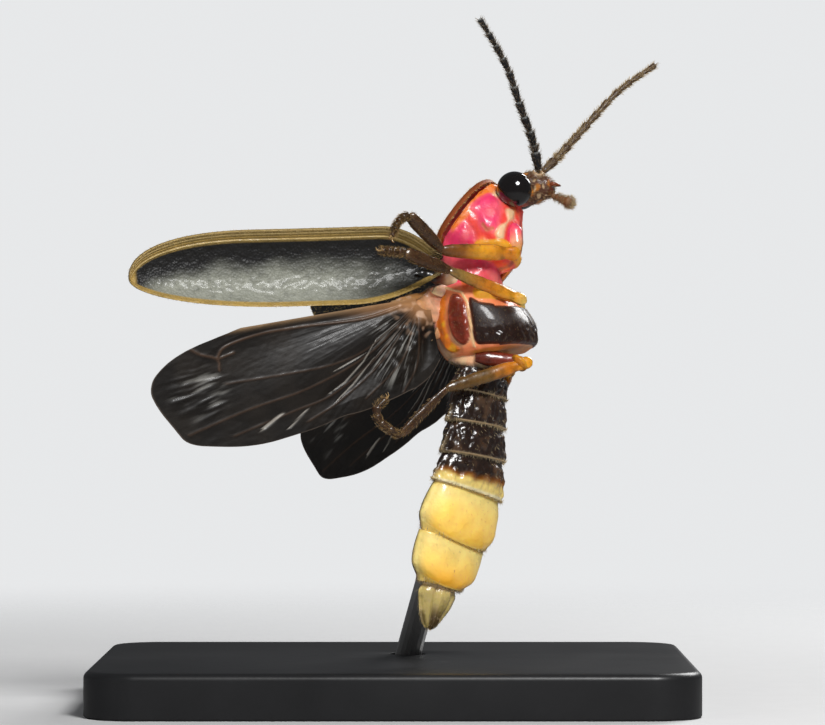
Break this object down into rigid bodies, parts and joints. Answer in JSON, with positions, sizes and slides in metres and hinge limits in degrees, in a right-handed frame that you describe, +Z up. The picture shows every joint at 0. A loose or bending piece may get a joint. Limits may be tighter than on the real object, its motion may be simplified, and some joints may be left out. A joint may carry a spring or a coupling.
{
  "type": "firefly model",
  "caption": "Life-size still model of a firefly in flight, wings raised and legs tucked, held by a slim rod on a flat display base.",
  "frame": {"origin": "middle of the underside of the stand's base, on the surface that the model stands on", "axes": "+Z up; the insect's belly faces +X, its wings trail towards -X and its right side faces -Y"},
  "size_m": [0.0184, 0.0148, 0.0209],
  "materials": {
    "sternite_brown": "dark brown, lumpy and glossy",
    "tip_olive": "grey-olive, slightly translucent",
    "lantern_yellow": "pale yellow, satin",
    "sternum_brown": "very dark brown, glossy",
    "flesh_orange": "peach membrane, moist",
    "flesh_pink": "pink membrane, moist",
    "pronotum_orange": "orange to amber, satin",
    "face_brown": "amber brown, satin",
    "eye_black": "black, very glossy",
    "feeler_brown": "dark brown, downy",
    "elytron_black": "dark grey with a finely wrinkled gloss",
    "membrane_smoke": "smoky brown, translucent",
    "leg_orange": "amber, glossy",
    "hip_red_brown": "dark red-brown, glossy",
    "shin_brown": "dark brown, satin",
    "base_black": "satin black",
    "rod_steel": "brushed"
  },
  "bodies": {
    "root": {"abdomen_2": "sternite_brown", "abdomen_3": "sternite_brown", "abdomen_4": "sternite_brown", "abdomen_5": "sternite_brown", "abdomen_tip": "tip_olive", "antenna_left": "feeler_brown", "antenna_right": "feeler_brown", "elytron_left": "elytron_black", "elytron_right": "elytron_black", "eye_left": "eye_black", "eye_right": "eye_black", "foreleg_left_coxa": "leg_orange", "foreleg_left_femur": "leg_orange", "foreleg_left_tarsus": "shin_brown", "foreleg_left_tibia": "shin_brown", "foreleg_right_coxa": "leg_orange", "foreleg_right_femur": "leg_orange", "foreleg_right_tarsus": "shin_brown", "foreleg_right_tibia": "shin_brown", "head": "face_brown", "hindleg_left_coxa": "hip_red_brown", "hindleg_left_femur": "leg_orange", "hindleg_left_tarsus": "shin_brown", "hindleg_left_tibia": "shin_brown", "hindleg_right_coxa": "hip_red_brown", "hindleg_right_femur": "leg_orange", "hindleg_right_tarsus": "shin_brown", "hindleg_right_tibia": "shin_brown", "hindwing_left": "membrane_smoke", "hindwing_right": "membrane_smoke", "lantern_6": "lantern_yellow", "lantern_7": "lantern_yellow", "mesothorax": "flesh_orange", "metathorax": "sternum_brown", "midleg_left_coxa": "leg_orange", "midleg_left_femur": "leg_orange", "midleg_left_tarsus": "shin_brown", "midleg_left_tibia": "shin_brown", "midleg_right_coxa": "leg_orange", "midleg_right_femur": "leg_orange", "midleg_right_tarsus": "shin_brown", "midleg_right_tibia": "shin_brown", "palp_left": "face_brown", "palp_right": "face_brown", "pronotum": "pronotum_orange", "prothorax": "flesh_pink", "stand_base": "base_black", "stand_rod": "rod_steel"}
  },
  "joints": []
}
